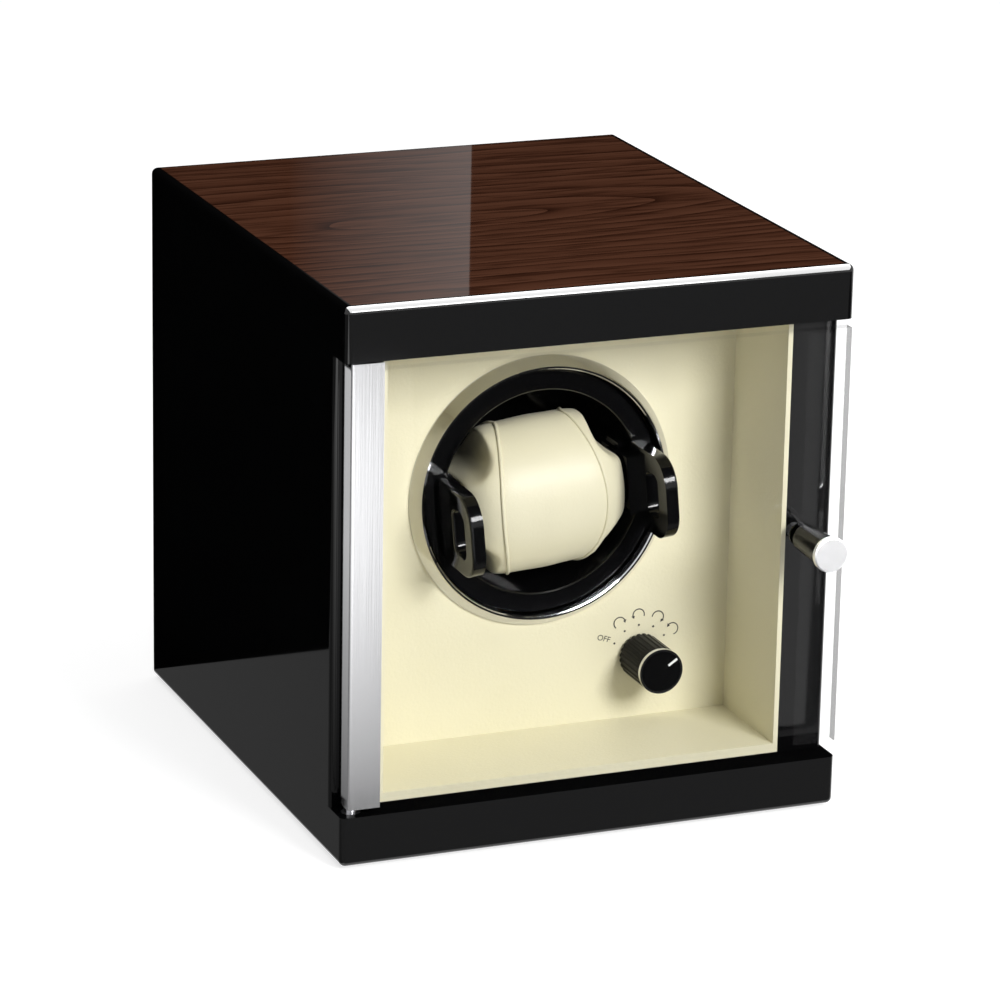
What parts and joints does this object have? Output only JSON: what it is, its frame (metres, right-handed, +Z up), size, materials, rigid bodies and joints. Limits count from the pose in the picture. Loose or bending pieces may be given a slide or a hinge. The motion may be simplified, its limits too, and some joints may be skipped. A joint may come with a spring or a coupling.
{
  "type": "watch winder box",
  "caption": "Free-standing watch winder: black lacquered case with a walnut top, clear pivoting door, cream lined display space, geared drum, removable watch pillow and rotary mode knob",
  "frame": {"origin": "on the table, under the middle of the felt pad", "axes": "X to the right seen from the front, Y to the back, Z up; the door is on the -Y side"},
  "size_m": [0.16, 0.197, 0.1712],
  "materials": {
    "lacquer_black": "black high-gloss lacquer on fibreboard",
    "walnut": "high-gloss lacquered walnut veneer",
    "felt_black": "black felt",
    "board_black": "matt black painted board",
    "leatherette_cream": "cream grained leatherette on thin board",
    "pillow_cream": "cream leatherette over foam",
    "chrome": "polished chrome plate",
    "aluminium": "satin anodised extrusion",
    "acrylic_clear": "clear polished acrylic sheet",
    "plastic_black_gloss": "glossy black moulding",
    "plastic_black_matte": "matt black moulding",
    "plastic_white": "white fill",
    "nylon": "natural nylon",
    "steel": "zinc-plated steel",
    "brass": "turned brass",
    "gearbox_alloy": "die-cast housing",
    "bare_board": "bare fibreboard",
    "circuit_green": "circuit laminate",
    "component_black": "moulded components"
  },
  "bodies": {
    "case": {"top_board": "lacquer_black", "walnut_veneer": "walnut", "base_board": "lacquer_black", "felt_base_pad": "felt_black", "side_wall_left": "lacquer_black", "side_wall_right": "lacquer_black", "rear_panel": "board_black", "rear_panel_screws": "steel", "dc_socket": "plastic_black_matte", "dc_socket_nut": "steel", "lining_left": "leatherette_cream", "lining_right": "leatherette_cream", "lining_floor": "leatherette_cream", "lining_ceiling": "leatherette_cream", "front_panel": "leatherette_cream", "bezel_ring": "chrome", "cleat_left": "bare_board", "cleat_right": "bare_board", "motor_plate": "bare_board", "motor_plate_screws": "steel", "drum_axle": "steel", "axle_clip": "steel", "thrust_washer": "nylon", "gearbox_housing": "gearbox_alloy", "motor_can": "steel", "gearbox_screws": "steel", "control_board": "circuit_green", "board_spacers": "nylon", "board_components": "component_black", "rotary_switch_body": "plastic_black_matte", "switch_nut": "steel", "hinge_bush_top": "brass", "hinge_bush_bottom": "brass", "catch_magnet": "steel"},
    "drum": {"drum_cup": "plastic_black_gloss", "drum_bush": "brass", "drum_gear": "nylon", "gear_screws": "steel", "hub_cap": "plastic_black_gloss"},
    "pinion": {"motor_pinion": "nylon", "motor_shaft": "steel"},
    "mode_knob": {"mode_knob": "plastic_black_gloss", "mode_knob_trim_ring": "chrome", "mode_knob_pointer": "plastic_white", "switch_shaft": "steel"},
    "door": {"door_pane": "acrylic_clear", "hinge_stile": "aluminium", "hinge_plate_top": "aluminium", "hinge_plate_bottom": "aluminium", "pivot_pin_top": "steel", "pivot_pin_bottom": "steel", "door_knob": "chrome", "door_knob_cap": "chrome", "door_knob_screw": "steel"},
    "pillow": {"pillow": "pillow_cream", "pillow_core": "plastic_black_matte", "clip_left": "plastic_black_gloss", "clip_right": "plastic_black_gloss"}
  },
  "joints": [
    {"name": "door_swing", "type": "hinge", "parent": "case", "child": "door", "pos_m": [-0.075, -0.0844, 0.0867], "axis": [0, 0, -1], "range_deg": [0, 100]},
    {"name": "drum_spin", "type": "hinge", "parent": "case", "child": "drum", "pos_m": [0, 0, 0.0958], "axis": [0, 1, 0], "continuous": true},
    {"name": "pinion_spin", "type": "hinge", "parent": "case", "child": "pinion", "pos_m": [0, 0, 0.0578], "axis": [0, 1, 0], "continuous": true},
    {"name": "mode_knob_turn", "type": "hinge", "parent": "case", "child": "mode_knob", "pos_m": [0.0345, -0.05, 0.0393], "axis": [0, -1, 0], "range_deg": [0, 118]},
    {"name": "pillow_pull", "type": "slide", "parent": "drum", "child": "pillow", "axis": [0, -1, 0], "range_m": [0, 0.012]}
  ],
  "couplings": [
    {"joint": "pinion_spin", "follows": "drum_spin", "ratio": -3.75}
  ]
}
